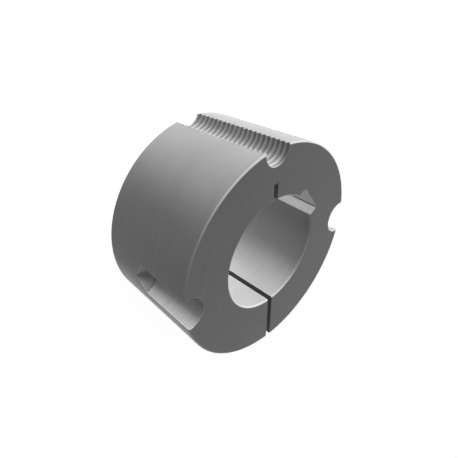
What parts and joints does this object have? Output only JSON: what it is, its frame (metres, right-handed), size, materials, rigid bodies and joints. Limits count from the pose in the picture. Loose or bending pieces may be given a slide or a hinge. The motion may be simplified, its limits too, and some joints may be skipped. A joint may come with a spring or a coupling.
{
  "type": "taper bush",
  "caption": "Split, keyed bush with a tapered outside, drawn into a hub by screws in half-holes to clamp it on a shaft.",
  "frame": {"origin": "centre of the small end face, on the bore axis; the bush stands on this face", "axes": "+Z along the bore axis from the small end to the large face; +Y towards the threaded half-hole, so the split is at -Y and the plain half-holes are 5 degrees below +X and -X"},
  "size_m": [0.0854, 0.0853, 0.0445],
  "materials": {
    "bush_iron": "fine-turned dark grey iron with a light oil film"
  },
  "bodies": {
    "root": {"taper_bush": "bush_iron"}
  },
  "joints": []
}
